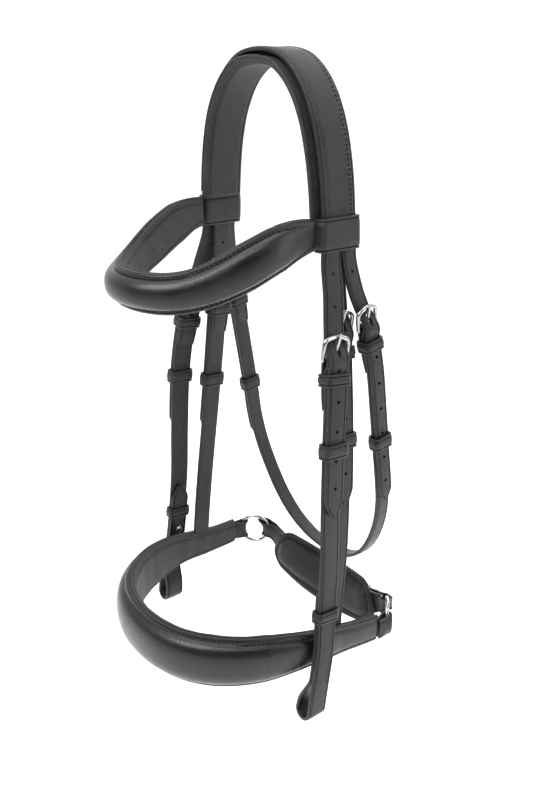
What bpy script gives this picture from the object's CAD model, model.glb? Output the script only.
"""Snaffle bridle: padded headpiece, browband, cheekpieces, throatlash and crank noseband.

Lengths are in millimetres until a mesh is made. +X is the horse's near side, -Y its nose, +Z up.
"""

import bmesh
import bpy
import numpy as np
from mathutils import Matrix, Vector


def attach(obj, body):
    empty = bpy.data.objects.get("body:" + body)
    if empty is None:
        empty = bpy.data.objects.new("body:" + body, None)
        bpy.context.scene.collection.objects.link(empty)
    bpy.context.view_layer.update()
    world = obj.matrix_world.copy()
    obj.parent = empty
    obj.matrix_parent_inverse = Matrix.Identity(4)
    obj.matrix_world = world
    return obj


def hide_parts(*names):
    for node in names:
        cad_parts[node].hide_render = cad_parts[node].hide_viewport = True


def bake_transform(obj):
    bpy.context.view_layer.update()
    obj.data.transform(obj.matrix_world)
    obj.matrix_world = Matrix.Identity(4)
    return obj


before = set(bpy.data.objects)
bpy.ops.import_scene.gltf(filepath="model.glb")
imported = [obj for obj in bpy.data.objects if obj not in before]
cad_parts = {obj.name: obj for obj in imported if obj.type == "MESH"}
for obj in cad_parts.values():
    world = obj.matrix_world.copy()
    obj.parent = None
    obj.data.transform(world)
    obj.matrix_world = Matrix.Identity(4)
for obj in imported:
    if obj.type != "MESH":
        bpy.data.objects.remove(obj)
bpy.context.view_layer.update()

MM = 0.001
Y_AXIS = np.array([0.0, 1.0, 0.0])
Z_AXIS = np.array([0.0, 0.0, 1.0])
SIDES = (("near", 1), ("off", -1))

# ---- Driving sizes, the same as the bridle's pattern: W width, H height, D across, L length, T thickness ----
LEATHER = 3.0
GAP = 0.15
CHEEK_W = 17.0
THROAT_W = 13.0
HANGER_W = 16.0
CHIN_W = 19.0
LEG_W = CHEEK_W + THROAT_W
CROWN_W = 30.0
CROWN_PAD = 6.0
PAD_FRONT = 5.0
PAD_BACK = 1.0
HOLE_D = 2.6
HOLE_PITCH = 21.0
BROW_HALF, BROW_REACH, BROW_DIP, BROW_ROLL = 67.0, 126.0, 33.0, 8.0
BROW_FRONT_H, BROW_SIDE_H, LOOP_H = 27.0, 31.0, 23.0
NOSE_HALF, NOSE_REACH, NOSE_H, NOSE_END_H = 95.0, 119.0, 45.0, 23.0
NOSE_ROLL, NOSE_LINING = 9.0, 6.0
RING_R, RING_WIRE = 13.5, 1.7
CHIN_PAD_L, CHIN_PAD_W, CHIN_PAD_T = 132.0, 40.0, 8.0
WIRE, FRAME_H, FRAME_PEAK, TONGUE = 1.4, 14.0, 3.0, 1.1
BIT_R, BIT_DROP = 5.0, 473.0

UNDER = -LEATHER - GAP
TURNED = UNDER - LEATHER - GAP
BAR_DEPTH = -LEATHER / 2 - GAP
FOLD_R = WIRE + GAP + LEATHER * 0.8
OVER_BAR = BAR_DEPTH + FOLD_R + GAP + LEATHER / 2
UNDER_MID = UNDER + LEATHER / 2
FOLD_MID_R = 2.75
LEG_FOOT = -121.0
POINT_TOP = LEG_FOOT - 2.4
LOOP_CENTRE = -107.0
THROAT_REAR, THROAT_LOW = 67.5, -412.0
NOSE_FLARE = 0.1
KEEPER_T, KEEPER_H, RUNNER_H = 1.9, 9.0, 11.0
PIPING_R, BEAD_R = 1.15, 0.85


# ---- Routes ----
def unit(v):
    """Each row scaled to length one."""
    return v / np.linalg.norm(v, axis=-1, keepdims=True)


def distance_along(path):
    """Length of the path up to each of its points."""
    return np.r_[0, np.cumsum(np.linalg.norm(np.diff(path, axis=0), axis=1))]


def read_off(places, along, rows):
    """Rows known at some distances, read off at other places on straight lines between them."""
    return np.stack([np.interp(places, along, column) for column in rows.T], -1)


def heading(path, closed=False):
    """Direction of a path at each point: from the point before it to the point after it."""
    return unit(np.roll(path, -1, 0) - np.roll(path, 1, 0) if closed else np.gradient(path, axis=0))


def signed_power(v, power):
    """A value raised to a power, with its sign kept."""
    return np.sign(v) * np.abs(v) ** power


def smooth(points, steps=16):
    """Catmull-Rom curve: every span is a cubic shaped by its two ends and their outer neighbours."""
    p = np.asarray(points, float)
    p = np.vstack([2 * p[0] - p[1], p, 2 * p[-1] - p[-2]])
    t = np.linspace(0, 1, steps, endpoint=False)[:, None]
    a, b, c, d = p[:-3, None], p[1:-2, None], p[2:-1, None], p[3:, None]
    spans = 0.5 * (2 * b + (c - a) * t + (2 * a - 5 * b + 4 * c - d) * t**2 + (3 * b - a - 3 * c + d) * t**3)
    return np.vstack([spans.reshape(-1, p.shape[1]), p[-2:-1]])


def evenly(path, step, *others):
    """Points at equal distances along a path; other arrays are carried to the same places."""
    along = distance_along(path)
    places = np.linspace(0, along[-1], max(2, int(np.ceil(along[-1] / step)) + 1))
    moved = [read_off(places, along, rows.reshape(len(rows), -1)) for rows in (path, *others)]
    return moved if others else moved[0]


def both_halves(p):
    """A half route that starts on the middle plane, continued by its mirror image."""
    return np.vstack([p[:0:-1] * [-1, 1, 1], p])


def at_coordinate(route, axis, value):
    """Places on a route where one of its coordinates has the given values."""
    order = np.argsort(route[:, axis])
    return read_off(value, route[order, axis], route[order])


def at_height(route, z):
    """Places on a hanging route at given heights."""
    return at_coordinate(route, 2, z)


def hang(route, z):
    """Place, way down, outward normal and width direction of a hanging route at given heights."""
    z = np.asarray(z, float)
    down = unit(at_height(route, z - 3) - at_height(route, z + 3))
    out = unit(np.cross(down, Y_AXIS))
    return at_height(route, z), down, out, np.cross(out, down)


def hung_path(route, heights, depth):
    """A strap's middle line: the route's place at each height, moved along its outward normal."""
    place, _, out, _ = hang(route, heights)
    return place + out * depth[:, None]


SLIP_T = 2.4
CROWN_TOP = CROWN_PAD + SLIP_T + LEATHER + 2 * GAP
crown_half = np.array([
    [0, 0, -1.5], [20, 0, -4], [36, 0, -13], [48, 0, -26], [57, 0, -42], [63, 0.2, -60], [67, 0.5, -80],
    [69.5, 0.8, -103], [71, 1, LEG_FOOT - CROWN_TOP]]) + [0, 0, CROWN_TOP]
crown_route = smooth(both_halves(crown_half))
leg_route = crown_route[crown_route[:, 0] > 1]

cheek_y = 1 - LEG_W / 2 + CHEEK_W / 2 - 0.25
throat_y = 1 + LEG_W / 2 - THROAT_W / 2 + 0.25
SLIP_HIGH = -LEATHER / 2 - GAP
cheek_route = smooth([
    [71, cheek_y, LEG_FOOT + 4], [72.5, cheek_y - 1, -128], [80, -10, -149], [89, -16, -180], [95, -20, -210],
    [99, -24, -250], [101.5, -26, -300], [103.5, -27, -345], [105.5, -30, -385], [108, -33, -415],
    [109.8, -39, -445], [110, -43, -BIT_DROP]])
throat_all = smooth([
    [71, throat_y, LEG_FOOT + 4], [72.5, throat_y + 0.5, -128], [77, 14.5, -148], [81.5, 21, -170],
    [83.5, 29, -205], [83, 36, -245], [82.5, 41, -275], [82.5, 45, -300], [80, 50, -325], [73, 55, -350],
    [61, 59.5, -375], [45, 63.5, -395], [24, 66.5, -408], [0, THROAT_REAR, THROAT_LOW], [-24, 66.5, -408]])
throat_route = throat_all[throat_all[:, 0] > -0.01]
hanger_route = smooth([
    [71 + SLIP_HIGH - SLIP_T / 2 - 0.6, 1, LEG_FOOT + 4], [68, 1.2, -128], [71.5, 1.8, -150], [75, 1.8, -175],
    [78.5, 1, -205], [82.5, 0, -240], [87.5, -2.5, -290], [91.5, -6, -340], [93, -9.5, -380], [93.5, -12, -410]])


def ease(t):
    """Smooth step from 0 to 1."""
    t = np.clip(t, 0, 1)
    return t * t * (3 - 2 * t)


def superellipse(angle, half, reach, middle_y, power):
    """Plan curve whose sine and cosine are raised to 2 / power, so its corners fill out."""
    return np.stack([half * signed_power(np.sin(angle), 2 / power),
                     middle_y - reach * signed_power(np.cos(angle), 2 / power)], -1)


BROW_START = 1 - LEG_W / 2 - 4
brow_angle = np.radians(np.linspace(-82.4, 82.4, 241))
brow_plan = superellipse(brow_angle, BROW_HALF, BROW_REACH, 1, 2.15)
brow_along = (BROW_START - brow_plan[:, 1]) / (BROW_REACH - abs(BROW_START) + 1)
brow_route = evenly(np.c_[brow_plan, LOOP_CENTRE - BROW_DIP * ease(brow_along * 1.08)], 0.8)


def brow_height(y):
    """Height of the browband from its loops to its front, in straight lines between five sizes."""
    return np.interp(-y, [-BROW_START, -BROW_START + 28, -BROW_START + 50, BROW_REACH - 20, BROW_REACH],
                     [LOOP_H - 2, BROW_SIDE_H, BROW_SIDE_H + 1, BROW_FRONT_H + 1, BROW_FRONT_H])


def brow_fullness(y):
    """How full the browband's roll is: an eighth at the loops, rising smoothly to one."""
    return ease(np.clip((BROW_START + 6 - y) / 45, 0.12, 1))


NOSE_MID, NOSE_SIDE_Y, NOSE_END_Y = -418.0, -8.0, 30.0
nose_plan = superellipse(np.radians(np.linspace(0, 90, 160)), NOSE_HALF, NOSE_REACH, NOSE_SIDE_Y, 2.2)
nose_tail_y = np.array([8.0, 20.0, NOSE_END_Y])
nose_half = np.vstack([nose_plan, np.c_[NOSE_HALF + NOSE_FLARE * (nose_tail_y - NOSE_SIDE_Y), nose_tail_y]])
nose_flat = both_halves(np.c_[nose_half, np.zeros(len(nose_half))])


def nose_level(y):
    """Height of the noseband's middle line: it falls 7 in a smooth step from front to back."""
    return NOSE_MID - 7 * ease((y + 60) / 90)


nose_flat[:, 2] = nose_level(nose_flat[:, 1])
nose_route = evenly(nose_flat, 0.8)


def nose_height(y):
    """Height of the noseband from its front to its ends, in straight lines between six sizes."""
    return np.interp(y, [-NOSE_REACH + NOSE_SIDE_Y, -105, -72, -30, 5, NOSE_END_Y],
                     [NOSE_H, NOSE_H - 1, NOSE_H - 5, NOSE_END_H + 6, NOSE_END_H + 1, NOSE_END_H])


def nose_fullness(y):
    """How full the noseband's roll is: one in front, a fifth at its ends."""
    return np.interp(y, [-120, -72, -45, -20, NOSE_END_Y], [1, 0.88, 0.6, 0.34, 0.2])


RING_TURN = np.radians(45)
RING_Z = nose_level(NOSE_END_Y) - 2
ring_front = np.array([NOSE_HALF + NOSE_FLARE * (NOSE_END_Y - NOSE_SIDE_Y) + 1, NOSE_END_Y + 11, RING_Z])
ring_inward = np.array([-np.cos(RING_TURN), np.sin(RING_TURN), 0])
ring_centre = ring_front + RING_R * ring_inward
ring_back = ring_front + 2 * RING_R * ring_inward
CHIN_SAG, CHIN_TILT = 16.0, np.radians(38)
chin_half = np.array([
    [0, ring_back[1] + 4, RING_Z - CHIN_SAG], [30, ring_back[1] + 3.5, RING_Z - CHIN_SAG + 1.5],
    [CHIN_PAD_L / 2 - 6, ring_back[1] + 1.5, RING_Z - CHIN_SAG + 7], [ring_back[0] - 4, ring_back[1], RING_Z]])
chin_route = smooth(both_halves(chin_half), 24)[::-1]


def chin_up(x):
    """Width direction of the chin strap: upright at the rings, leaning by the tilt in the middle."""
    a = CHIN_TILT * (1 - ease(np.abs(x) / 80))
    return np.stack([np.zeros_like(a), np.sin(a), np.cos(a)], -1)


def chin_place(x):
    """Place on the chin strap's route at a given distance from the middle plane."""
    return at_coordinate(chin_route, 0, x)


def on_chin(x):
    """Place, way to the off side, rearward normal and width direction of the chin strap."""
    x = np.asarray(x, float)
    way = unit(chin_place(x - 3) - chin_place(x + 3))
    rear = unit(np.cross(way, chin_up(x)))
    return chin_place(x), way, rear, np.cross(rear, way)


# ---- Meshes ----
def put(name, parts, material, body, replaces=(), side=1):
    """One object from several closed parts, each given as points, arrays of faces and a rim mark per point.

    Side -1 mirrors it across X. Every closed part gets its faces turned outwards."""
    points, loops, sizes, start = [], [], [], 0
    for part_points, face_sets, _ in parts:
        points.append(part_points)
        for faces in face_sets:
            loops.append((np.asarray(faces) + start).ravel())
            sizes.append(np.full(len(faces), len(faces[0])))
        start += len(part_points)
    points, loops, sizes = np.vstack(points) * MM, np.concatenate(loops), np.concatenate(sizes)
    if side < 0:
        points = points * [-1, 1, 1]
    mesh = bpy.data.meshes.new(name)
    mesh.vertices.add(len(points))
    mesh.vertices.foreach_set("co", points.ravel())
    mesh.loops.add(len(loops))
    mesh.loops.foreach_set("vertex_index", loops.astype(np.int32))
    mesh.polygons.add(len(sizes))
    mesh.polygons.foreach_set("loop_start", (np.cumsum(sizes) - sizes).astype(np.int32))
    mesh.polygons.foreach_set("use_smooth", np.ones(len(sizes), bool))
    mesh.update(calc_edges=True)
    mesh.attributes.new("rim", "FLOAT", "POINT").data.foreach_set(
        "value", np.concatenate([mark for _, _, mark in parts]).astype(np.float32))
    turned = bmesh.new()
    turned.from_mesh(mesh)
    bmesh.ops.recalc_face_normals(turned, faces=turned.faces)
    turned.to_mesh(mesh)
    turned.free()
    mesh.set_sharp_from_angle(angle=np.radians(55))
    mesh.materials.append(material)
    piece = bpy.data.objects.new(name, mesh)
    bpy.context.scene.collection.objects.link(piece)
    if body:
        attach(piece, body)
    if replaces:
        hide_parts(*replaces)
    return piece


def grid_faces(rows, cols, closed_rows=False, closed_cols=True):
    """Quads between neighbouring rows and columns of a grid."""
    a, b = np.meshgrid(np.arange(rows if closed_rows else rows - 1),
                       np.arange(cols if closed_cols else cols - 1), indexing="ij")
    a2, b2 = (a + 1) % rows, (b + 1) % cols
    return np.stack([a * cols + b, a * cols + b2, a2 * cols + b2, a2 * cols + b], -1).reshape(-1, 4)


def carried(path, width_dir, section, mark, closed=False):
    """A section carried along a path: section[..., 0] runs across it, section[..., 1] along its normal."""
    way = heading(path, closed)
    normal = unit(np.cross(way, width_dir))
    width = np.cross(normal, way)
    section = np.broadcast_to(section, (len(path),) + section.shape[-2:])
    mark = np.broadcast_to(mark, section.shape[:2])
    points = path[:, None] + section[..., :1] * width[:, None] + section[..., 1:] * normal[:, None]
    rows, cols = section.shape[:2]
    faces = [grid_faces(rows, cols, closed)]
    if not closed:
        faces += [np.arange(cols)[None], np.arange((rows - 1) * cols, rows * cols)[None, ::-1]]
    return points.reshape(-1, 3), faces, mark.reshape(-1)


EDGE_ROUND = 0.8
CREASE_IN, CREASE_W, CREASE_DEPTH = 1.9, 0.5, 0.6


def strap_section(width, thick, crease=CREASE_DEPTH, crown=0.18):
    """Flat strap: rounded edges, a pressed line near each edge of the grain side, and a slight crown.

    Columns run round the section; each row has its own width and thickness. Returns section and rim mark."""
    width, thick = np.broadcast_arrays(np.asarray(width, float), np.asarray(thick, float))
    half = width[..., None] / 2
    r = np.minimum(EDGE_ROUND, np.minimum(half * 0.6, thick[..., None] * 0.3))
    turn = np.radians([0, 30, 60, 90])
    inset = np.minimum(CREASE_IN, half * 0.45)
    cw = np.minimum(CREASE_W, half * 0.12)
    flat = np.concatenate([-(half - inset - cw), -(half - inset - cw) * 0.5, half * 0,
                           (half - inset - cw) * 0.5, half - inset - cw], -1)
    top = np.concatenate([-half + r, -half + inset - cw, -half + inset, flat,
                          half - inset, half - inset + cw, half - r], -1)
    lift = np.concatenate([0 * half - 0.1, 0 * half, 0 * half - crease, 0 * half, 0 * half + crown * 0.8,
                           0 * half + crown, 0 * half + crown * 0.8, 0 * half, 0 * half - crease, 0 * half,
                           0 * half - 0.1], -1)
    high = thick[..., None] / 2
    lower_left = np.stack([-half + r - r * np.cos(turn), -high + r - r * np.sin(turn)], -1)[..., ::-1, :]
    upper_left = np.stack([-half + r - r * np.cos(turn), high - r + r * np.sin(turn) - 0.1 * np.sin(turn)], -1)
    across = np.stack([top[..., 1:-1], high + lift[..., 1:-1]], -1)
    upper_right = upper_left[..., ::-1, :] * [-1, 1]
    lower_right = lower_left[..., ::-1, :] * [-1, 1]
    base = np.stack([np.concatenate([half * 0.4, -half * 0.4], -1), np.concatenate([-high, -high], -1)], -1)
    loop = np.concatenate([upper_left, across, upper_right, lower_right, base, lower_left], -2)
    pressed = np.zeros(across.shape[-2])
    pressed[[1, -2]] = -1.0 if np.max(crease) > 0 else 0.0
    rim = np.concatenate([np.ones(4), pressed, np.ones(8), np.zeros(2), np.ones(4)])
    return loop[..., ::-1, :], rim[::-1]


def tip_width(width, left):
    """A strap's point: the width falls with the square root of what is left of it."""
    return width * np.sqrt(np.clip(left / (width * 0.75), 0.004, 1))


def wire(path, radius, around=14, closed=True):
    """A round wire: a circle carried along a path. An open wire's frame leans on the axis it runs along least."""
    way = heading(path, closed)
    if closed:
        ref = unit(np.cross(way, unit(path - path.mean(0) + 1e-6)))
    else:
        ref = np.eye(3)[np.abs(way).max(0).argmin()]
    ref = unit(ref - (ref * way).sum(-1, keepdims=True) * way)
    side = np.cross(way, ref)
    a = np.linspace(0, 2 * np.pi, around, endpoint=False)
    radius = np.broadcast_to(radius, (len(path),))[:, None, None]
    points = path[:, None] + radius * (np.cos(a)[:, None] * ref[:, None] + np.sin(a)[:, None] * side[:, None])
    faces, rows = [grid_faces(len(path), around, closed)], len(path)
    if not closed:
        faces += [np.arange(around)[None, ::-1], np.arange((rows - 1) * around, rows * around)[None]]
    return points.reshape(-1, 3), faces, np.zeros(rows * around)


def rounded_path(corners, radii, steps=6):
    """A closed path through corners, each replaced by a quadratic bend that starts a radius before it."""
    c = np.asarray(corners, float)
    r = np.asarray(radii, float)[:, None]
    before = c + unit(np.roll(c, 1, 0) - c) * r
    after = c + unit(np.roll(c, -1, 0) - c) * r
    t = np.linspace(0, 1, steps)[None, :, None]
    bend = before[:, None] * (1 - t) ** 2 + 2 * c[:, None] * t * (1 - t) + after[:, None] * t**2
    return evenly(np.vstack([bend.reshape(-1, 3), bend[0, :1]]), 0.5)[:-1]


# ---- Stitching: one short rounded thread, set many times ----
STITCH_PITCH = 3.3
FINE = {"pitch": 2.9, "length": 2.1, "radius": 0.33}


def stitches(places, way, normal, length, radius):
    """A small five-sided spindle at each place, along its own way and half sunk in the leather."""
    u = np.array([-0.5, -0.36, 0.0, 0.36, 0.5]) * length
    fat = np.array([0.35, 0.85, 1.0, 0.85, 0.35]) * radius
    sink = np.array([-0.55, -0.05, 0.12, -0.05, -0.55]) * radius
    a = np.linspace(0, 2 * np.pi, 5, endpoint=False)
    side = np.cross(normal, way)
    ring = np.cos(a)[:, None] * side[:, None, None] + np.sin(a)[:, None] * normal[:, None, None]
    core = places[:, None] + u[:, None] * way[:, None] + sink[:, None] * normal[:, None]
    points = core[:, :, None] + fat[:, None, None] * ring
    own = np.arange(len(places))[:, None, None] * 25
    walls = (grid_faces(5, 5)[None] + own).reshape(-1, 4)
    ends = (np.stack([np.arange(5)[::-1], np.arange(20, 25)])[None] + own).reshape(-1, 5)
    return points.reshape(-1, 3), [walls, ends], np.zeros(len(places) * 25)


def stitch_row(path, width_dir, across, lift, pitch=STITCH_PITCH, first=0.0, last=0.0, **kind):
    """Stitches at an even pitch along a line that runs beside a strap's middle line."""
    way = heading(path)
    normal = unit(np.cross(way, width_dir))
    width = np.cross(normal, way)
    across, lift = np.broadcast_to(across, (len(path),)), np.broadcast_to(lift, (len(path),))
    line = path + across[:, None] * width + lift[:, None] * normal
    along = distance_along(line)
    s = np.arange(first + pitch / 2, along[-1] - last, pitch)
    direction = unit(read_off(s + 0.5, along, line) - read_off(s - 0.5, along, line))
    upright = read_off(s, along, normal)
    upright = unit(upright - (upright * direction).sum(-1, keepdims=True) * direction)
    return stitches(read_off(s, along, line), direction, upright, **kind)


def cut(piece, cutters):
    """Takes closed cutter shapes out of a piece: punched holes and slots."""
    verts, faces, start = [], [], 0
    for points, rings in cutters:
        verts.append(points)
        faces.extend([[i + start for i in f] for f in rings])
        start += len(points)
    mesh = bpy.data.meshes.new("punch")
    mesh.from_pydata((np.vstack(verts) * MM).tolist(), [], faces)
    tool = bpy.data.objects.new("punch", mesh)
    bpy.context.scene.collection.objects.link(tool)
    step = piece.modifiers.new("punched", "BOOLEAN")
    step.operation, step.solver, step.object = "DIFFERENCE", "EXACT", tool
    bpy.context.view_layer.update()
    done = bpy.data.meshes.new_from_object(piece.evaluated_get(bpy.context.evaluated_depsgraph_get()))
    piece.modifiers.clear()
    old = piece.data
    piece.data = done
    bpy.data.meshes.remove(old)
    bpy.data.objects.remove(tool)
    bpy.data.meshes.remove(mesh)
    piece.data.polygons.foreach_set("use_smooth", np.ones(len(piece.data.polygons), bool))
    piece.data.set_sharp_from_angle(angle=np.radians(40))


def bar(centre, axis, long_dir, half_a, half_b, depth, around=16, square=False):
    """A closed prism: an ellipse or a rectangle in one plane, with its length along the axis."""
    other = np.cross(axis, long_dir)
    if square:
        ring = np.array([[-1, -1], [1, -1], [1, 1], [-1, 1]], float)
    else:
        a = np.linspace(0, 2 * np.pi, around, endpoint=False)
        ring = np.c_[np.cos(a), np.sin(a)]
    n = len(ring)
    base = centre + ring[:, :1] * half_a * long_dir + ring[:, 1:] * half_b * other
    points = np.vstack([base - axis * depth / 2, base + axis * depth / 2])
    walls = [[k, (k + 1) % n, n + (k + 1) % n, n + k] for k in range(n)]
    return points, walls + [list(range(n))[::-1], list(range(n, 2 * n))]


# ---- Materials ----
def node(tree, kind, **values):
    """A shader node; each value goes to the socket of that name, or else to the setting of that name."""
    made = tree.nodes.new(kind)
    for key, value in values.items():
        if key in made.inputs:
            made.inputs[key].default_value = value
        else:
            setattr(made, key, value)
    return made


def new_material(name, **shader):
    """A material, its nodes and its surface shader, with constants set on the shader's own sockets."""
    material = bpy.data.materials.new(name)
    material.use_nodes = True
    tree = material.node_tree
    surface = tree.nodes["Principled BSDF"]
    for key, value in shader.items():
        surface.inputs[key.replace("_", " ")].default_value = value
    return material, tree, surface


def ramp(tree, source, low, high, low_value, high_value):
    """A value mapped in a straight line from one range to another, and held at its ends."""
    made = node(tree, "ShaderNodeMapRange", **{"From Min": low, "From Max": high,
                                               "To Min": low_value, "To Max": high_value})
    tree.links.new(source, made.inputs["Value"])
    return made.outputs["Result"]


def blend_colour(tree, factor, first, second):
    """A colour part way between two by a factor; each is a fixed colour or another node's output."""
    made = node(tree, "ShaderNodeMix", data_type="RGBA")
    for key, colour in (("A", first), ("B", second)):
        if isinstance(colour, tuple):
            made.inputs[key].default_value = (*colour, 1)
        else:
            tree.links.new(colour, made.inputs[key])
    tree.links.new(factor, made.inputs["Factor"])
    return made.outputs["Result"]


def pattern(tree, place, kind, **values):
    """A texture laid on the piece by its own coordinates."""
    made = node(tree, kind, **values)
    tree.links.new(place, made.inputs["Vector"])
    return made


def part_added(tree, first, part, second):
    """The first pattern times a part, plus the second pattern."""
    made = node(tree, "ShaderNodeMath", operation="MULTIPLY_ADD")
    made.inputs[1].default_value = part
    tree.links.new(first, made.inputs[0])
    tree.links.new(second, made.inputs[2])
    return made.outputs["Value"]


def raised(tree, height, strength, distance, over=None):
    """The surface's slope, tilted by a height pattern, over another slope if one is given."""
    made = node(tree, "ShaderNodeBump", Strength=strength, Distance=distance)
    tree.links.new(height, made.inputs["Height"])
    if over:
        tree.links.new(over, made.inputs["Normal"])
    return made.outputs["Normal"]


BURNT_LINE = (0.0015, 0.0014, 0.0014)


def leather(name, colour, worn, rough, rough_worn, grain, pore_scale, edge_colour, sheen=0.0, coat=0.0):
    """Leather: pebbled grain from small cells, fine creases, cloudy wear, and inked edges by the rim mark."""
    material, tree, surface = new_material(name, IOR=1.46, Specular_IOR_Level=0.42, Sheen_Weight=sheen,
                                           Sheen_Roughness=0.4, Coat_Weight=coat, Coat_Roughness=0.18)
    place = node(tree, "ShaderNodeTexCoord").outputs["Object"]
    cells = pattern(tree, place, "ShaderNodeTexVoronoi", feature="DISTANCE_TO_EDGE", Scale=pore_scale)
    ripple = pattern(tree, place, "ShaderNodeTexNoise", Scale=pore_scale * 0.35, Detail=5.0, Roughness=0.6)
    cloud = pattern(tree, place, "ShaderNodeTexNoise", Scale=45.0, Detail=4.0, Roughness=0.55)
    wrinkle = pattern(tree, place, "ShaderNodeTexNoise", Scale=240.0, Detail=6.0, Roughness=0.65, Distortion=0.6)
    pores = ramp(tree, cells.outputs["Distance"], 0.0, 0.12, 0.0, 1.0)
    pebbles = raised(tree, part_added(tree, pores, 0.55, ripple.outputs["Fac"]), grain, 0.00022)
    creased = raised(tree, wrinkle.outputs["Fac"], grain * 0.9, 0.0007, pebbles)
    tree.links.new(creased, surface.inputs["Normal"])
    patches = part_added(tree, wrinkle.outputs["Fac"], 0.5, cloud.outputs["Fac"])
    face = blend_colour(tree, ramp(tree, patches, 0.64, 0.90, 0.0, 1.0), colour, worn)
    rim = node(tree, "ShaderNodeAttribute", attribute_name="rim").outputs["Fac"]
    inked = blend_colour(tree, ramp(tree, rim, 0.0, 1.0, 0.0, 1.0), face, edge_colour)
    burnt = blend_colour(tree, ramp(tree, rim, -0.9, -0.2, 0.85, 0.0), inked, BURNT_LINE)
    tree.links.new(burnt, surface.inputs["Base Color"])
    tree.links.new(ramp(tree, cloud.outputs["Fac"], 0.35, 0.7, rough, rough_worn), surface.inputs["Roughness"])
    return material


bridle_leather = leather("bridle leather", (0.0056, 0.0052, 0.0051), (0.0165, 0.0155, 0.0150), 0.30, 0.46, 0.50,
                         2600.0, edge_colour=(0.0105, 0.0098, 0.0095))
rolled_leather = leather("rolled leather", (0.0046, 0.0042, 0.0041), (0.0105, 0.0098, 0.0096), 0.19, 0.30, 0.26,
                         2200.0, coat=0.12, edge_colour=(0.0080, 0.0074, 0.0072))
lining_leather = leather("lining leather", (0.0140, 0.0126, 0.0122), (0.027, 0.0245, 0.0238), 0.46, 0.64, 0.8,
                         1700.0, sheen=0.05, edge_colour=(0.022, 0.020, 0.0192))
pad_leather = leather("pad leather", (0.0060, 0.0057, 0.0057), (0.0115, 0.0110, 0.0110), 0.48, 0.62, 0.8,
                      1500.0, sheen=0.02, edge_colour=(0.0085, 0.0080, 0.0080))


def thread_material():
    """Waxed thread: twisted strands shown as slanting ridges."""
    material, tree, surface = new_material("waxed thread", Roughness=0.46, IOR=1.48)
    place = node(tree, "ShaderNodeTexCoord").outputs["Object"]
    twist = pattern(tree, place, "ShaderNodeTexWave", Scale=900.0, Distortion=1.5,
                    bands_direction="DIAGONAL").outputs["Fac"]
    tree.links.new(raised(tree, twist, 0.5, 0.0001), surface.inputs["Normal"])
    shade = blend_colour(tree, twist, (0.018, 0.0172, 0.0168), (0.062, 0.059, 0.057))
    tree.links.new(shade, surface.inputs["Base Color"])
    return material


def steel_material():
    """Polished stainless steel: fine rubbing marks in the roughness and the surface."""
    material, tree, surface = new_material("stainless steel", Metallic=1.0, Specular_IOR_Level=0.6)
    place = node(tree, "ShaderNodeTexCoord").outputs["Object"]
    rub = pattern(tree, place, "ShaderNodeTexNoise", Scale=420.0, Detail=6.0, Roughness=0.7).outputs["Fac"]
    tree.links.new(ramp(tree, rub, 0.3, 0.7, 0.10, 0.24), surface.inputs["Roughness"])
    tone = blend_colour(tree, rub, (0.34, 0.335, 0.325), (0.50, 0.495, 0.48))
    tree.links.new(tone, surface.inputs["Base Color"])
    tree.links.new(raised(tree, rub, 0.08, 0.0001), surface.inputs["Normal"])
    return material


thread = thread_material()
steel = steel_material()


def add_thread(name, rows, body, side=1):
    """Rows of stitches as one piece of waxed thread."""
    put(name, rows, thread, body, side=side)


# ---- Sections and small forms ----
def pillow_section(width, low, high, around=36, power=2.6):
    """A soft roll: an oval whose corners are filled out by the power."""
    a = np.linspace(0, 2 * np.pi, around, endpoint=False)
    width, low, high = (np.asarray(v, float)[..., None] for v in (width, low, high))
    x = width / 2 * signed_power(np.cos(a), 2 / power)
    y = (low + high) / 2 + (high - low) / 2 * signed_power(np.sin(a), 2 / power)
    return np.stack(np.broadcast_arrays(x, y), -1)


def lining_section(width, high, thick, columns=49, seam_in=4.2, seam_deep=0.75):
    """A stuffed lining: flat on its upper side, swelling below, with a pressed seam near each edge.

    The swell is the cube root of one minus the place across to the power 6."""
    u = np.sin(np.linspace(-np.pi / 2, np.pi / 2, columns)) * 0.5 + np.linspace(-1, 1, columns) * 0.5
    width, high, thick = (np.broadcast_arrays(*(np.asarray(v, float) for v in (width, high, thick))))
    half = width[..., None] / 2
    x = half * u
    swell = thick[..., None] * np.cbrt(np.clip(1 - np.abs(u) ** 6, 0.002, 1))
    seam = seam_deep * np.exp(-((half - np.abs(x) - seam_in) / 0.75) ** 2)
    low = np.stack([x, high[..., None] - np.maximum(swell - seam, 0.15)], -1)
    top = np.stack([x[..., ::-6][..., 1:-1], 0 * x[..., ::-6][..., 1:-1] + high[..., None]], -1)
    return np.concatenate([low, top], -2)


def framed(route, z):
    """A hanging strap's own frame at one height: its place, and across, up and outward directions."""
    place, down, out, width = hang(route, np.array([z]))
    return place[0], width[0], -down[0], out[0]


def in_frame(frame_at, points):
    """Points given as across, up and outwards, put into the bridle's own space."""
    place, width, up, out = frame_at
    points = np.asarray(points, float)
    return place + points[..., :1] * width + points[..., 1:2] * up + points[..., 2:] * out


def keeper(frame_at, inner_w, low, high, height, wall, lines=0.65):
    """A leather band round the strap: a flat section with two pressed lines, carried round a soft rectangle."""
    half, mid = inner_w / 2 + wall / 2, wall / 2
    corners = [[-half, 0, high + mid], [half, 0, high + mid], [half, 0, low - mid], [-half, 0, low - mid]]
    turn = min(2.6, (high - low + wall) * 0.42)
    path = in_frame(frame_at, rounded_path(corners, [turn] * 4))
    section, rim = strap_section(height, wall, crease=lines, crown=0.25)
    return carried(path, frame_at[2], section, rim, closed=True)


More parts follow.
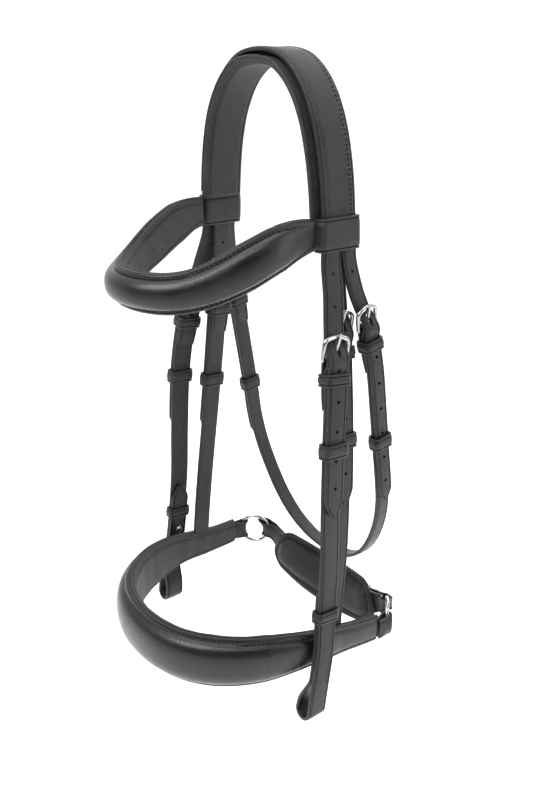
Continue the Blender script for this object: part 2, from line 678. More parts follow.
def buckle_frame(frame_at, width, lift=0.0):
    """The buckle's bar, two sides and gently peaked top as one round wire."""
    half, shoulder = width / 2 + WIRE + 0.9, WIRE + GAP * 3
    corners = [[-half, 0, BAR_DEPTH + lift], [half, 0, BAR_DEPTH + lift], [half, FRAME_H, shoulder + lift],
               [0, FRAME_H + FRAME_PEAK, shoulder + 0.6 + lift], [-half, FRAME_H, shoulder + lift]]
    path = rounded_path(corners, [1.8, 1.8, 3.4, 5.5, 3.4], 9)
    flat = 1 + 0.16 * ease((path[:, 1] - 2) / 6)
    return wire(in_frame(frame_at, path), WIRE * flat, 18)


def tongue(frame_at, lift=0.0):
    """A tongue: a tapering pin with a slight bow, and an eye carried round the buckle's bar."""
    start = np.array([0, WIRE + 0.85, BAR_DEPTH + 0.3 + lift])
    tip = np.array([0, FRAME_H + FRAME_PEAK + 1.5, WIRE + GAP * 3 + 0.6 + WIRE * 1.12 + TONGUE + 1.35 + lift])
    t = np.linspace(0, 1, 40)[:, None]
    pin = start + (tip - start) * t + [0, 0, 1] * np.sin(np.pi * t) * 0.15
    end = np.sqrt(np.clip(1 - ((t[:, 0] - 0.95) / 0.05).clip(0, 1) ** 2, 0.02, 1))
    thick = TONGUE * (1.0 - 0.12 * t[:, 0]) * end
    a = np.linspace(0, 2 * np.pi, 40, endpoint=False)[:, None]
    r = WIRE + 0.3 + 0.55
    eye = np.hstack([0 * a, r * np.cos(a), BAR_DEPTH + lift + r * np.sin(a)])
    section = pillow_section(2 * TONGUE + 0.5, -0.55, 0.55, 16, 4.0)
    return [wire(in_frame(frame_at, pin), thick, 16, closed=False),
            carried(in_frame(frame_at, eye), frame_at[1], section, np.zeros(16), closed=True)]


def turned_form(frame_at, profile, centre=(0, 0), around=32):
    """A form of revolution about the outward direction; profile rows are outward place and radius."""
    profile = np.asarray(profile, float)
    a = np.linspace(0, 2 * np.pi, around, endpoint=False)
    x = centre[0] + profile[:, 1:] * np.cos(a)
    y = centre[1] + profile[:, 1:] * np.sin(a)
    z = np.broadcast_to(profile[:, :1], x.shape)
    points = in_frame(frame_at, np.stack([x, y, z], -1)).reshape(-1, 3)
    rows = len(profile)
    faces = [grid_faces(rows, around), np.arange(around)[None, ::-1],
             np.arange((rows - 1) * around, rows * around)[None]]
    return points, faces, np.zeros(rows * around)


def strap_along(path, width_dir, width, thick, point=0.0, crease=CREASE_DEPTH):
    """A flat strap along a path of its middle line; with a point, the width falls away at the far end."""
    if point:
        along = distance_along(path)
        width = tip_width(np.asarray(width, float), along[-1] - along + 0.05)
    section, rim = strap_section(width, thick, crease=crease)
    section = np.broadcast_to(section, (len(path),) + section.shape[-2:])
    return carried(path, width_dir, section, rim)


STEP = 0.8


def fold_at_bar(bar_z):
    """Heights, depths and thicknesses of a strap's end: up behind, round the bar, down in front."""
    phi = np.radians(np.linspace(0, 180, 13))
    return np.vstack([
        np.array([[-34, TURNED + 2.55, 0.8], [-30, TURNED + 2.1, 1.6], [-24, TURNED + 1.6, 2.6],
                  [-16, TURNED + 1.5, 2.8], [-9, TURNED + 1.5, 2.7], [-4, -4.72, 2.5]]) + [bar_z, 0, 0],
        np.c_[bar_z + FOLD_MID_R * np.sin(phi), BAR_DEPTH - FOLD_MID_R * np.cos(phi), np.full(13, 2.4)],
        np.array([[-3, 0.35, 2.5], [-5.8, -1.0, 2.7], [-9, -1.65, LEATHER], [-13, -1.65, LEATHER]]) + [bar_z, 0, 0]])


def laid_out(route, table):
    """A smooth middle line from rows of height, depth and thickness on a hanging route."""
    table = smooth(table, 8)
    place, _, out, _ = hang(route, table[:, 0])
    path, thick = evenly(place + out * table[:, 1:2], STEP, table[:, 2])
    return path, thick[:, 0]


BUCKLE_COVERS = 13.0


def hole_heights(start, count, bar_z):
    """Heights of holes at an even pitch, without those that the buckle covers."""
    z = start - np.arange(count) * HOLE_PITCH
    return z[np.abs(z - bar_z - FRAME_H / 2) > BUCKLE_COVERS]


def punch(route, heights, radius=HOLE_D / 2, tall=24.0):
    """Round cutters square to the strap at several heights."""
    frames = [framed(route, z) for z in heights]
    return [bar(f[0], f[3], f[1], radius, radius, tall, 20) for f in frames]


def slot_cutter(frame_at, width, low, high, depth_low, depth_high):
    """A box cutter given by its width, its reach along the strap and its depths."""
    place, across, up, out = frame_at
    centre = place + up * (low + high) / 2 + out * (depth_low + depth_high) / 2
    return bar(centre, out, across, width / 2, (high - low) / 2, depth_high - depth_low, square=True)


def mirrored_cutters(cutters, side):
    """Cutters for side -1: mirrored across X, with their faces turned round to stay outwards."""
    if side > 0:
        return cutters
    return [(points * [-1, 1, 1], [f[::-1] for f in faces]) for points, faces in cutters]


# ---- Headpiece ----
def leg_width(z):
    """Width of the headpiece: from the crown's to both lower straps' together, in a straight line."""
    return np.interp(z, [-80, -20, 20], [LEG_W, CROWN_W, CROWN_W])


LOOP_INSIDE = LEG_FOOT + 4.0
crown_path = evenly(crown_route, 1.5)
crown_path = crown_path[crown_path[:, 2] > LOOP_INSIDE + 0.5]
crown_section, crown_rim = strap_section(leg_width(crown_path[:, 2]), LEATHER)
put("headpiece_strap", [carried(crown_path, Y_AXIS, crown_section, crown_rim)], bridle_leather, "headpiece",
    ["headpiece"])
crown_edge = leg_width(crown_path[:, 2]) / 2 - 3.3
add_thread("headpiece_stitching", [
    stitch_row(crown_path, Y_AXIS, side * crown_edge, LEATHER / 2 + 0.1, first=15, last=15, length=2.5, radius=0.5)
    for side in (-1, 1)], "headpiece")

slip_section, slip_rim = strap_section(HANGER_W, SLIP_T, crease=0.0)
slip_section = slip_section + [0, SLIP_HIGH - SLIP_T / 2]
put("headstrap", [carried(crown_path, Y_AXIS, slip_section, slip_rim)], bridle_leather, "headpiece",
    ["sliphead"])

PAD_HIGH = -LEATHER / 2 - GAP * 2 - SLIP_T
PAD_FOOT = -98.5
PAD_SHIFT = (PAD_BACK - PAD_FRONT) / 2
pad_path = crown_path[crown_path[:, 2] > PAD_FOOT]
pad_end = ease((pad_path[:, 2] - PAD_FOOT) / 5 + 0.1)
pad_along = distance_along(pad_path)
pad_soft = 0.25 * np.sin(pad_along / 9.0) + 0.18 * np.sin(pad_along / 4.1 + 1.3)
pad_width = (CROWN_W + PAD_FRONT + PAD_BACK) * (0.92 + 0.08 * np.sqrt(pad_end))
pad_low = PAD_HIGH - (CROWN_PAD - 0.25 + 0.3 * pad_soft) * (0.25 + 0.75 * np.sqrt(pad_end))
pad_section = lining_section(pad_width, PAD_HIGH, PAD_HIGH - pad_low)
pad_section[..., 0] += PAD_SHIFT
padding = put("headpiece_padding_soft", [carried(pad_path, Y_AXIS, pad_section, np.zeros(pad_section.shape[-2]))],
              lining_leather, "headpiece", ["headpiece_padding"])

pipe_path = pad_path[4:-4]
pipe_out = unit(np.cross(heading(pipe_path), Y_AXIS))
pipe_edge = pad_width[4:-4] / 2 - 0.6
piping = [wire(pipe_path + Y_AXIS * (PAD_SHIFT + edge * pipe_edge)[:, None] + pipe_out * (PAD_HIGH - 0.5),
               PIPING_R, 12, closed=False) for edge in (-1, 1)]
put("headpiece_piping", piping, bridle_leather, "headpiece")


# ---- Browband ----
COVER = 0.9


def cover_section(height, inner_half, base, bulge, along, border=0.7, columns=41, pucker=0.22):
    """The padded cover: a flat flange at both edges, a dip at the seam and a dome between the seams.

    The dome is the square root of one minus the distance from the middle to the power 2.4; small waves
    at the seam's pitch fade away from it."""
    outer = height / 2 - border
    u = np.linspace(-1, 1, columns)
    x = signed_power(u, 0.8)[None] * outer[:, None]
    ratio = np.clip(np.abs(x) / inner_half[:, None], 0, 1)
    dome = (bulge - COVER)[:, None] * np.sqrt(np.clip(1 - ratio ** 2.4, 0, 1))
    beyond = np.abs(x) - inner_half[:, None]
    seam = -0.35 * np.exp(-((beyond - 0.5) / 0.7) ** 2)
    wave = pucker * np.cos(2 * np.pi * along / STITCH_PITCH)[:, None] * np.exp(-np.abs(beyond) / 1.6)
    flange = COVER * np.clip((outer[:, None] - np.abs(x)) / 0.5, 0.15, 1) ** 0.5
    top = np.stack([x, base + flange + dome + seam + wave * np.clip(dome, 0, 1)], -1)
    low = np.stack([x[:, ::-1][:, ::8], np.full_like(x[:, ::8], base)], -1)
    return np.concatenate([top, low], 1)


def band(prefix, path, height, inner_half, roll_base, bulge, lining_thick, lining_gap, body, roll_skip):
    """A padded band: flat strap, raised cover with two seams, soft lining behind and piped edges.

    The lining's thickness swells by two sines of the distance along the band."""
    along = distance_along(path)
    section, rim = strap_section(height, LEATHER, crease=0.0, crown=0.0)
    put(prefix + "_backing", [carried(path, Z_AXIS, section, rim)], bridle_leather, body, [prefix + "_strap"])
    inner = slice(roll_skip, -roll_skip)
    cover = cover_section(height[inner], inner_half[inner], LEATHER / 2 + 0.05, bulge[inner] + roll_base, along[inner])
    rim = np.zeros(cover.shape[1])
    rim[[0, 1, 39, 40]] = 1
    roll = put(prefix + "_padded_cover", [carried(path[inner], Z_AXIS, cover, rim)], rolled_leather, body,
               [prefix + "_roll"])
    high = -LEATHER / 2 - lining_gap
    soft = 1 + 0.05 * np.sin(along / 7.0) + 0.03 * np.sin(along / 3.1 + 0.7)
    cushion = lining_section(height - 0.6, high + 0.1, lining_thick * soft)
    trim = slice(2, -2)
    lining = put(prefix + "_soft_lining",
                 [carried(path[trim], Z_AXIS, cushion[trim], np.zeros(cushion.shape[-2]))],
                 lining_leather, body, [prefix + "_lining"])
    add_thread(prefix + "_stitching", [
        stitch_row(path[inner], Z_AXIS, edge * (inner_half[inner] + 0.75), LEATHER / 2 + COVER - 0.12, first=2, last=2,
                   length=2.5, radius=0.4) for edge in (-1, 1)], body)
    out = unit(np.cross(heading(path), Z_AXIS))
    beads = [wire((path + Z_AXIS * (edge * (height / 2 - 0.45))[:, None] + out * (-LEATHER / 2 - 0.75))[trim],
                  BEAD_R, 10, closed=False) for edge in (-1, 1)]
    put(prefix + "_piping", beads, lining_leather, body)


brow_y = brow_route[:, 1]
band("browband", brow_route, brow_height(brow_y), (brow_height(brow_y) - 7) / 2, 0.35,
     BROW_ROLL * brow_fullness(brow_y), 4 * (0.4 + 0.6 * brow_fullness(brow_y)), 0.35, "headpiece", 1)

loop_low = SLIP_HIGH - SLIP_T - 0.4
for side_name, side in SIDES:
    loop_frame = framed(leg_route, LOOP_CENTRE)
    put("browband_loop_band_" + side_name,
        [keeper(loop_frame, LEG_W + 0.8, loop_low, LEATHER / 2 + 0.4, LOOP_H, 2.5, 0.7)],
        bridle_leather, "headpiece", ["browband_loop_" + side_name], side)


# ---- Hanging straps, buckles, keepers and runners ----
def weave_depths(heights, bar_z):
    """How far out a strap's point lies: behind its top, over the fold at the bar, outside below it."""
    table = np.array([
        [-200, 1.65], [-8, LEATHER / 2 + GAP], [-5.5, OVER_BAR - 1.7], [-3, OVER_BAR - 0.5], [-1, OVER_BAR],
        [1, OVER_BAR], [3, OVER_BAR - 0.7], [FRAME_H, -LEATHER / 2], [FRAME_H + 14, -LEATHER / 2]])
    z = np.r_[table[:, 0] + bar_z, POINT_TOP]
    depth = np.interp(heights, z, np.r_[table[:, 1], 0])
    soften = np.exp(-0.5 * (np.arange(-6, 7) / 2.4) ** 2)
    return np.convolve(np.pad(depth, 6, mode="edge"), soften / soften.sum(), "valid")


PIN_HOLE_UP, PIN_HOLE_HALF, PIN_HOLE_DEEP = 7.8, 5.9, 24.0


def strap_point(name, route, width, bar_z, tip_z, holes_from, holes, side, side_name):
    """A pointed strap with its holes; its top bends where it leaves the browband loop."""
    heights = np.arange(LOOP_INSIDE, tip_z - 0.01, -0.5)
    path = hung_path(route, heights, weave_depths(heights, bar_z))
    piece = put(name + "_end_" + side_name, [strap_along(evenly(path, STEP), Y_AXIS, width, LEATHER, point=1.0)],
                bridle_leather, None, [name + "_" + side_name], side)
    place, across, up, out = framed(route, bar_z)
    cutters = punch(route, hole_heights(holes_from, holes, bar_z))
    cutters.append(bar(place + up * PIN_HOLE_UP, out, across, TONGUE + 0.5, PIN_HOLE_HALF, PIN_HOLE_DEEP, 24))
    cut(piece, mirrored_cutters(cutters, side))
    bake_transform(piece)


def fittings(prefix, route, width, bar_z, fixed_z, slide_z, body, side, side_name):
    """One strap's buckle and tongue at its bar, its fixed keeper and its sliding runner."""
    at_bar = framed(route, bar_z)
    put(f"{prefix}_buckle_wire_{side_name}", [buckle_frame(at_bar, width)], steel, body,
        [f"{prefix}_buckle_{side_name}"], side)
    put(f"{prefix}_tongue_pin_{side_name}", tongue(at_bar), steel, f"{prefix}_tongue_{side_name}",
        [f"{prefix}_tongue_{side_name}"], side)
    put(f"{prefix}_keeper_band_{side_name}",
        [keeper(framed(route, fixed_z), width + 0.5, TURNED - GAP, LEATHER + 2 * GAP + 0.3, KEEPER_H, KEEPER_T)],
        bridle_leather, body, [f"{prefix}_keeper_{side_name}"], side)
    put(f"{prefix}_runner_band_{side_name}",
        [keeper(framed(route, slide_z), width + 1, UNDER - 0.5, LEATHER + GAP + 0.5, RUNNER_H, KEEPER_T)],
        bridle_leather, f"{prefix}_runner_{side_name}", [f"{prefix}_runner_{side_name}"], side)


SEAM_IN, SEAM_DEPTH, SEAM_TOP, SEAM_FOOT = 2.9, -0.1, 19.0, 33.0


def edge_seams(route, width, high, low, steps=80):
    """Two rows of stitches near a hanging strap's edges between two heights."""
    path = hung_path(route, np.linspace(high, low, steps), np.full(steps, SEAM_DEPTH))
    return [stitch_row(path, Y_AXIS, edge * (width / 2 - SEAM_IN), 0.05, **FINE) for edge in (-1, 1)]


def bar_seams(route, width, bar_z):
    """The seams that hold the fold round a buckle's bar, between two distances below the bar."""
    return edge_seams(route, width, bar_z - SEAM_TOP, bar_z - SEAM_FOOT)


def slotted(piece, route, bar_z, side):
    """Takes the tongue's slot out of a strap that is folded round a buckle's bar."""
    cut(piece, mirrored_cutters([slot_cutter(framed(route, bar_z), 2 * TONGUE + 1.6, -7, 7, -9, 6)], side))


CHEEK_BAR, CHEEK_TIP, CHEEK_FIXED, CHEEK_SLIDE = -189.0, -303.0, -202.0, -252.0
BILLET_KEEPER, STUD_Z, BILLET_TIP = -385.0, -402.0, -358.0
THROAT_BAR, THROAT_TIP, THROAT_FIXED, THROAT_SLIDE = -175.0, -321.0, -188.0, -268.0
NOSE_BAR, NOSE_TIP, NOSE_FIXED, NOSE_SLIDE, HANGER_FOOT = -178.0, -306.0, -191.0, -256.0, -410.0
LOOP_Z, LOOP_N, LOOP_MID_R = -BIT_DROP + BIT_R + LEATHER, -8.3, BIT_R + GAP + LEATHER / 2
BILLET_DEPTH = -4.8

for side_name, side in SIDES:
    cheek_body = "cheek_" + side_name
    strap_point("cheek_point", cheek_route, CHEEK_W, CHEEK_BAR, CHEEK_TIP, -133, 8, side, side_name)
    turn = np.radians(np.linspace(0, 180, 15))
    table = np.vstack([
        fold_at_bar(CHEEK_BAR),
        np.c_[np.linspace(-215, LOOP_Z + 8, 30), np.full(30, UNDER_MID), np.full(30, LEATHER)],
        np.c_[LOOP_Z - LOOP_MID_R * np.sin(turn), LOOP_N + LOOP_MID_R * np.cos(turn), np.full(15, LEATHER)],
        [[-458, -14.1, LEATHER], [-452.4, -12.15, LEATHER], [-445, -8.4, LEATHER], [-438, -5.2, LEATHER],
         [-430, -4.82, LEATHER], [-410, BILLET_DEPTH, LEATHER], [-385, BILLET_DEPTH, LEATHER],
         [BILLET_TIP, BILLET_DEPTH, LEATHER]]])
    path, thick = laid_out(cheek_route, table)
    piece = put("cheek_strap_" + side_name, [strap_along(path, Y_AXIS, CHEEK_W, thick, point=1.0)], bridle_leather,
                cheek_body, ["cheekpiece_" + side_name], side)
    slotted(piece, cheek_route, CHEEK_BAR, side)
    add_thread("cheek_stitching_" + side_name, bar_seams(cheek_route, CHEEK_W, CHEEK_BAR)
               + edge_seams(cheek_route, CHEEK_W, BILLET_TIP - 4, LOOP_Z + 24), cheek_body, side=side)
    fittings("cheek", cheek_route, CHEEK_W, CHEEK_BAR, CHEEK_FIXED, CHEEK_SLIDE, cheek_body, side, side_name)
    put("billet_keeper_band_" + side_name,
        [keeper(framed(cheek_route, BILLET_KEEPER), CHEEK_W + 0.5, TURNED - GAP, GAP, KEEPER_H, KEEPER_T)],
        bridle_leather, cheek_body, ["billet_keeper_" + side_name], side)
    stud = framed(cheek_route, STUD_Z)
    put("hook_stud_form_" + side_name, [
        turned_form(stud, [[TURNED - 1.6, 1.2], [TURNED - 1.4, 1.5], [-1.4, 1.5], [-1.2, 1.1], [-1.1, 0.3]]),
        turned_form(stud, [[TURNED - 2.05, 0.6], [TURNED - 2, 2.0], [TURNED - 1.7, 2.5], [TURNED - 1.2, 2.6],
                           [TURNED - 0.7, 2.1]]),
        turned_form(stud, [[TURNED - 1.9, 0.5], [TURNED - 1.8, 1.2], [TURNED - 1.0, 1.4], [TURNED - 0.6, 1.1]],
                    (0, 2.4))], steel, cheek_body, ["hook_stud_" + side_name], side)

    strap_point("throat_point", throat_route, THROAT_W, THROAT_BAR, THROAT_TIP, -134, 9, side,
                side_name)
    fittings("throat", throat_route, THROAT_W, THROAT_BAR, THROAT_FIXED, THROAT_SLIDE, "throatlash_strap", side,
             side_name)
    strap_point("nose_point", hanger_route, HANGER_W, NOSE_BAR, NOSE_TIP, -134, 8, side, side_name)
    fittings("nose", hanger_route, HANGER_W, NOSE_BAR, NOSE_FIXED, NOSE_SLIDE, "noseband", side, side_name)
    table = np.vstack([fold_at_bar(NOSE_BAR), np.c_[np.linspace(-205, HANGER_FOOT, 24),
                                                    np.full(24, UNDER_MID), np.full(24, LEATHER)]])
    path, thick = laid_out(hanger_route, table)
    piece = put("hanger_strap_" + side_name, [strap_along(path, Y_AXIS, HANGER_W, thick)], bridle_leather,
                "noseband", ["nose_hanger_" + side_name], side)
    slotted(piece, hanger_route, NOSE_BAR, side)
    add_thread("hanger_stitching_" + side_name, bar_seams(hanger_route, HANGER_W, NOSE_BAR), "noseband", side=side)
    add_thread("throat_stitching_" + side_name, bar_seams(throat_route, THROAT_W, THROAT_BAR), "throatlash_strap",
               side=side)

# The throatlash is one strap: folded at the near bar, under the throat, folded at the off bar
fold_table = smooth(fold_at_bar(THROAT_BAR), 8)
fold_place, _, fold_out, _ = hang(throat_route, fold_table[:, 0])
near_fold = fold_place + fold_out * fold_table[:, 1:2]
dense = evenly(throat_all, 1.0)
dense_out = unit(np.cross(heading(dense), Y_AXIS))
hanging = (dense[:, 2] < THROAT_BAR - 14) & (dense[:, 0] > 0.2)
near_run = (dense + dense_out * UNDER_MID)[hanging]
near_half = np.vstack([near_fold, near_run])
near_thick = np.r_[fold_table[:, 2], np.full(len(near_run), LEATHER)]
under_throat = np.array([[0, THROAT_REAR, THROAT_LOW - UNDER_MID]])
throat_path, throat_thick = evenly(
    np.vstack([near_half, under_throat, near_half[::-1] * [-1, 1, 1]]), STEP,
    np.r_[near_thick, LEATHER, near_thick[::-1]])
piece = put("throatlash_long_strap", [strap_along(throat_path, Y_AXIS, THROAT_W, throat_thick[:, 0])],
            bridle_leather, "throatlash_strap", ["throatlash"])
for _, side in SIDES:
    slotted(piece, throat_route, THROAT_BAR, side)

# ---- Noseband, rings and their tabs ----
nose_y = nose_route[:, 1]
band("noseband", nose_route, nose_height(nose_y), (nose_height(nose_y) - 8) / 2, 0.15,
     NOSE_ROLL * nose_fullness(nose_y), NOSE_LINING * (0.5 + 0.5 * nose_fullness(nose_y)), GAP, "noseband", 3)

TAB_H, TAB_T, EYE_H, EYE_T = 17.0, 2.4, 13.6, 2.1


def bent_with_ring(points, pull, inward):
    """Moves points towards the ring's middle as its wire curves away above and below, by the pull."""
    rise = np.clip(np.abs(points[:, 2] - RING_Z), 0, RING_R * 0.9)
    return points + inward * ((RING_R - np.sqrt(RING_R**2 - rise**2)) * pull)[:, None]


tab_front = np.array([[101.4, 30.6], [101.7, 33.0], [102.4, 36.0]])
tab_rear = np.array([[98.3, 30.6], [97.9, 33.0], [97.2, 36.0]])
tab_r = RING_WIRE + 0.5 + TAB_T / 2
tab_turn = np.radians(np.linspace(0, 180, 17))
tab_arc = np.c_[ring_front[0] + tab_r * np.cos(tab_turn), ring_front[1] + tab_r * np.sin(tab_turn)]
tab_flat = smooth(np.vstack([tab_front, tab_arc, tab_rear[::-1]]), 6)
tab_path = evenly(np.c_[tab_flat, np.full(len(tab_flat), RING_Z)], STEP)
tab_points, tab_faces, tab_rim = strap_along(tab_path, Z_AXIS, TAB_H, TAB_T, crease=0.25)
tab_points = bent_with_ring(tab_points, ease((tab_points[:, 1] - 31) / 9), ring_inward)
tab_seam = evenly(smooth(np.c_[tab_front, np.full(3, RING_Z)], 8), STEP)
tab_rows = [stitch_row(tab_seam, -Z_AXIS, edge * (TAB_H / 2 - 2.6), -TAB_T / 2 - 0.05, **FINE) for edge in (-1, 1)]
round_wire = np.linspace(0, 2 * np.pi, 96, endpoint=False)[:, None]
ring_path = ring_centre + RING_R * (np.cos(round_wire) * ring_inward + np.sin(round_wire) * Z_AXIS)

for side_name, side in SIDES:
    put("ring_tab_fold_" + side_name, [(tab_points, tab_faces, tab_rim)], bridle_leather, "noseband",
        ["ring_tab_" + side_name], side)
    add_thread("ring_tab_stitching_" + side_name, tab_rows, "noseband", side=side)
    put("ring_wire_" + side_name, [wire(ring_path, RING_WIRE, 24)], steel, "ring_" + side_name,
        ["ring_" + side_name], side)

# ---- Chin strap, crank buckle and pad ----
CRANK_BAR, CRANK_TIP, CRANK_KEEPER = 30.0, -42.0, 12.0
CRANK_LIFT = LEATHER + GAP + FOLD_R - BAR_DEPTH
CHIN_END = ring_back[0] - 4


def chin_point(x, depth):
    """A point over the chin strap's route at an offset to the rear; past its ends it goes straight on."""
    x, depth = np.asarray(x, float), np.asarray(depth, float)
    held = np.clip(x, -CHIN_END, CHIN_END)
    place, way, rear, _ = on_chin(held)
    return place - way * (x - held)[:, None] + rear * depth[:, None], chin_up(held)


def chin_frame(x):
    """The chin strap's own frame at one place: its place, and across, along and rearward directions."""
    place, way, rear, up = (v[0] for v in on_chin(np.array([x])))
    return place, up, -way, rear


EYE_R, CRANK_HOLE_PITCH = 4.6, 15.0
round_ring = np.radians(np.linspace(-90, 90, 15))
tail = np.array([
    [72, 6.2], [58, 7.25], [48, 7.2], [CRANK_BAR + FRAME_H, 7.25], [38, 9.2], [33.5, 11.8], [30, 12.7], [25.5, 12.3],
    [18, 10.45], [6, 10.4], [-12, 10.4], [-28, 10.4], [CRANK_TIP, 10.4]])
chin_table = np.vstack([
    [[-54, 4.7], [-62, 4.8], [-72, 5.2]],
    np.c_[-ring_back[0] - EYE_R * np.cos(round_ring[::-1]), EYE_R * np.sin(round_ring[::-1])],
    [[-77.5, -2.4], [-74, 0.6], [-69, 1.5]],
    np.c_[np.linspace(-60, 60, 25), np.full(25, 1.5)],
    [[69, 1.5], [74, 0.6], [77.5, -2.4]],
    np.c_[ring_back[0] + EYE_R * np.cos(round_ring), EYE_R * np.sin(round_ring)],
    tail])
chin_curve = smooth(chin_table, 6)
chin_path, chin_width_way = chin_point(chin_curve[:, 0], chin_curve[:, 1])
chin_path, chin_width_way, chin_x = evenly(chin_path, STEP, chin_width_way, chin_curve[:, 0])
chin_x = chin_x[:, 0]
chin_width = np.interp(np.abs(chin_x), [62, 74, 100], [CHIN_W, EYE_H, EYE_H])
chin_thick = np.interp(np.abs(chin_x), [68, 76, 100], [LEATHER, EYE_T, EYE_T])
points, faces, rim = strap_along(chin_path, unit(chin_width_way), chin_width, chin_thick, point=1.0)
pull = ease((np.abs(points[:, 0]) - 74) / 6)
to_middle = np.stack([np.sign(points[:, 0]), -np.ones(len(points)), np.zeros(len(points))], -1) / np.sqrt(2)
points = bent_with_ring(points, pull, to_middle)
chin_piece = put("chin_long_strap", [(points, faces, rim)], bridle_leather, "chin", ["chin_strap"])
crank_frame = chin_frame(CRANK_BAR)
slot_x = CRANK_BAR + FRAME_H / 2 + 2
chin_cuts = [slot_cutter(chin_frame(slot_x), 2 * TONGUE + 2, -7, 7, CRANK_LIFT - 3.6, CRANK_LIFT + 9)]
for k in (1, 2, 3):
    place, across, _, rear = chin_frame(slot_x - k * CRANK_HOLE_PITCH)
    chin_cuts.append(bar(place + rear * (CRANK_LIFT + LEATHER), rear, across, HOLE_D / 2, HOLE_D / 2, 7, 20))
cut(chin_piece, chin_cuts)

chape_turn = np.radians(np.linspace(-90, 90, 13))
chape = smooth(np.vstack([
    [[17.5, 4.35], [21, 4.35], [25, 4.4]],
    np.c_[CRANK_BAR + FOLD_MID_R * np.cos(chape_turn), CRANK_LIFT + BAR_DEPTH + FOLD_MID_R * np.sin(chape_turn)],
    [[26.5, 8.6], [23, 7.0], [17.5, 6.9]]]), 6)
chape_path, chape_up = chin_point(chape[:, 0], chape[:, 1])
chape_path, chape_up = evenly(chape_path, STEP, chape_up)
chape_piece = put("crank_chape", [strap_along(chape_path, unit(chape_up), CHIN_W - 0.8, 2.35)], bridle_leather,
                  "chin")
cut(chape_piece, [slot_cutter(crank_frame, 2 * TONGUE + 1.6, -6, 7, 3.3, CRANK_LIFT + 4)])
put("crank_buckle_wire", [buckle_frame(crank_frame, CHIN_W, CRANK_LIFT)], steel, "chin", ["crank_buckle"])
put("crank_tongue_pin", tongue(crank_frame, CRANK_LIFT), steel, "crank_tongue", ["crank_tongue"])
put("crank_keeper_band",
    [keeper(chin_frame(CRANK_KEEPER), CHIN_W + 0.5, 5.15, CRANK_LIFT + LEATHER + 2 * GAP + 0.3, KEEPER_H, KEEPER_T)],
    bridle_leather, "chin", ["crank_keeper"])

# The pad: a rounded border, a pressed groove along it and a raised middle, by the distance inside its outline
PAD_GAP, PAD_CORNER, PAD_BORDER, PAD_EDGE_T = 0.45, 16.0, 5.0, 3.6
pad_x = np.linspace(CHIN_PAD_L / 2, -CHIN_PAD_L / 2, 150)
corner_cut = np.clip(PAD_CORNER - (CHIN_PAD_L / 2 - np.abs(pad_x)), 0, None)
pad_half = CHIN_PAD_W / 2 - PAD_CORNER + np.sqrt(np.clip(PAD_CORNER**2 - corner_cut**2, 9, None))
across = np.sin(np.linspace(-np.pi / 2, np.pi / 2, 61)) * 0.35 + np.linspace(-1, 1, 61) * 0.65
v = across[None] * pad_half[:, None]
qx = np.abs(pad_x)[:, None] - CHIN_PAD_L / 2 + PAD_CORNER
qv = np.abs(v) - CHIN_PAD_W / 2 + PAD_CORNER
inside = np.clip(PAD_CORNER - np.hypot(qx.clip(0), qv.clip(0)) - np.minimum(np.maximum(qx, qv), 0), 0, None)
border = PAD_EDGE_T * np.sqrt(np.clip(1 - (1 - inside / 2.2).clip(0, 1) ** 2, 0, 1))
groove = -1.1 * np.exp(-((inside - PAD_BORDER) / 0.8) ** 2)
middle = (CHIN_PAD_T - PAD_EDGE_T) * (1 - np.exp(-((inside - PAD_BORDER) / 3.5).clip(0) ** 1.4))
depth = np.maximum(border + groove + middle, 0.25)
rear_face = -PAD_GAP - 0.9 * (1 - inside / 2.0).clip(0, 1) ** 2
horse_face = -PAD_GAP - depth
pad_loop = np.concatenate([np.stack([v, rear_face], -1), np.stack([v, horse_face], -1)[:, ::-1][:, 1:-1]], 1)
pad_line, pad_up = chin_point(pad_x, 0 * pad_x)
chin_cushion = put("chin_pad_soft", [carried(pad_line, unit(pad_up), pad_loop, np.zeros(pad_loop.shape[1]))],
                   pad_leather, "chin", ["chin_pad"])


# ---- Room, light and camera ----
def room_material():
    """Pale studio paper with a very faint mottling."""
    material, tree, surface = new_material("studio paper", Roughness=0.85, Emission_Strength=0.42)
    surface.inputs["Emission Color"].default_value = (1, 1, 1, 1)
    place = node(tree, "ShaderNodeTexCoord").outputs["Object"]
    mottle = pattern(tree, place, "ShaderNodeTexNoise", Scale=2.0, Detail=3.0)
    tone = blend_colour(tree, mottle.outputs["Fac"], (0.86, 0.86, 0.87), (0.90, 0.90, 0.91))
    tree.links.new(tone, surface.inputs["Base Color"])
    return material


VIEW_TURN, VIEW_DOWN, VIEW_FAR = np.radians(52), np.radians(21.5), 682.1
TARGET = np.array([0, -8.5, -248.5])
towards = np.array([np.sin(VIEW_TURN) * np.cos(VIEW_DOWN), -np.cos(VIEW_TURN) * np.cos(VIEW_DOWN),
                    np.sin(VIEW_DOWN)])


FLOOR_Z, FLOOR_HALF, WALL_FOOT, WALL_BEND = -640, 3600, 1300, 900


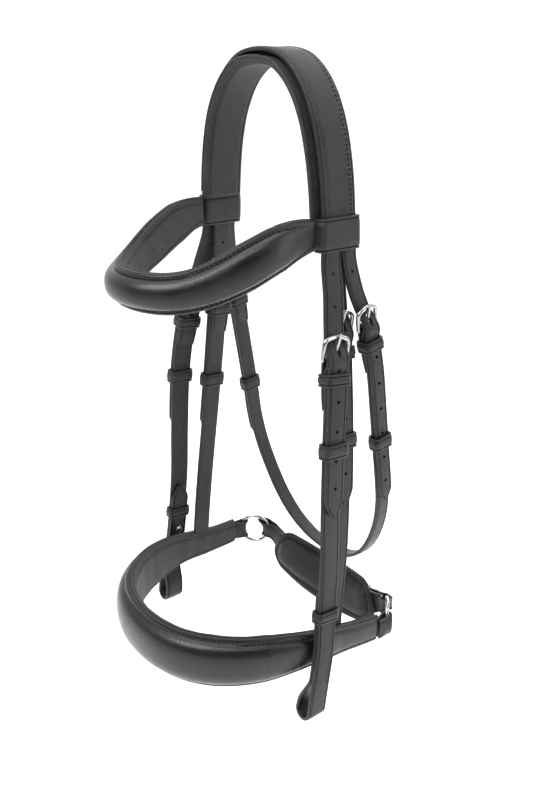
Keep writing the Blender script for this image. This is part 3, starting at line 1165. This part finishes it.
def studio():
    """A floor that turns up through a quarter circle into a back wall, square to the camera's view."""
    back = -unit(towards * [1, 1, 0])
    side = np.cross(back, Z_AXIS)
    bend = np.radians(np.linspace(0, 90, 13))
    run = np.concatenate([[-FLOOR_HALF, 0, 700], WALL_FOOT + WALL_BEND * np.sin(bend), [2200, 2200]])
    rise = np.concatenate([[0, 0, 0], WALL_BEND - WALL_BEND * np.cos(bend), [1800, 4200]]) + FLOOR_Z
    across = np.linspace(-FLOOR_HALF, FLOOR_HALF, 9)
    points = (back * run[:, None, None] + Z_AXIS * rise[:, None, None] + side * across[None, :, None]).reshape(-1, 3)
    mesh = bpy.data.meshes.new("studio")
    mesh.from_pydata((points * MM).tolist(), [], grid_faces(len(run), 9, closed_cols=False)[:, ::-1].tolist())
    mesh.polygons.foreach_set("use_smooth", np.ones(len(mesh.polygons), bool))
    mesh.materials.append(room_material())
    room = bpy.data.objects.new("studio", mesh)
    bpy.context.scene.collection.objects.link(room)


studio()


def soft_light(name, place, wide, tall, power):
    """A rectangular light that faces the bridle's middle."""
    light = bpy.data.lights.new(name, "AREA")
    light.shape, light.size, light.size_y, light.energy = "RECTANGLE", wide, tall, power
    lamp = bpy.data.objects.new(name, light)
    lamp.location = place * MM
    lamp.rotation_euler = Vector((TARGET - place).tolist()).to_track_quat("-Z", "Y").to_euler()
    bpy.context.scene.collection.objects.link(lamp)


right = unit(np.cross(-towards, Z_AXIS))
# Each light: how far towards the viewer, to the right and up; its width and height in metres; its watts
for name, near, sideways, up, wide, tall, power in (
        ("key light", 900, -900, 900, 0.9, 0.9, 24),
        ("side light", 500, 1300, 300, 0.5, 1.5, 7),
        ("strip light", 700, -350, 1100, 1.3, 0.16, 9),
        ("top light", -200, 0, 1500, 1.3, 0.9, 9),
        ("back light", -900, 700, 700, 0.9, 0.9, 7)):
    soft_light(name, TARGET + towards * near + right * sideways + Z_AXIS * up, wide, tall, power)

world = bpy.data.worlds.new("white room")
world.use_nodes = True
sky = world.node_tree
facing = node(sky, "ShaderNodeVectorMath", operation="DOT_PRODUCT")
facing.inputs[1].default_value = (towards * [1, 1, 0.2]).tolist()
sky.links.new(node(sky, "ShaderNodeTexCoord").outputs["Generated"], facing.inputs[0])
dusk = ramp(sky, facing.outputs["Value"], -0.1, 0.6, 0.0, 1.0)
sky.links.new(blend_colour(sky, dusk, (1.0, 1.0, 1.0), (0.22, 0.22, 0.225)), sky.nodes["Background"].inputs["Color"])
sky.nodes["Background"].inputs["Strength"].default_value = 0.85
bpy.context.scene.world = world
bpy.context.scene.view_settings.view_transform = "Standard"

camera = bpy.data.cameras.new("camera")
camera.lens, camera.sensor_width, camera.sensor_fit, camera.shift_x = 38.57, 36.0, "AUTO", 0.00375
camera.clip_start, camera.clip_end = 0.01, 50
viewer = bpy.data.objects.new("camera", camera)
viewer.location = (TARGET + towards * VIEW_FAR) * MM
viewer.rotation_euler = Vector((-towards).tolist()).to_track_quat("-Z", "Y").to_euler()
bpy.context.scene.collection.objects.link(viewer)
bpy.context.scene.camera = viewer
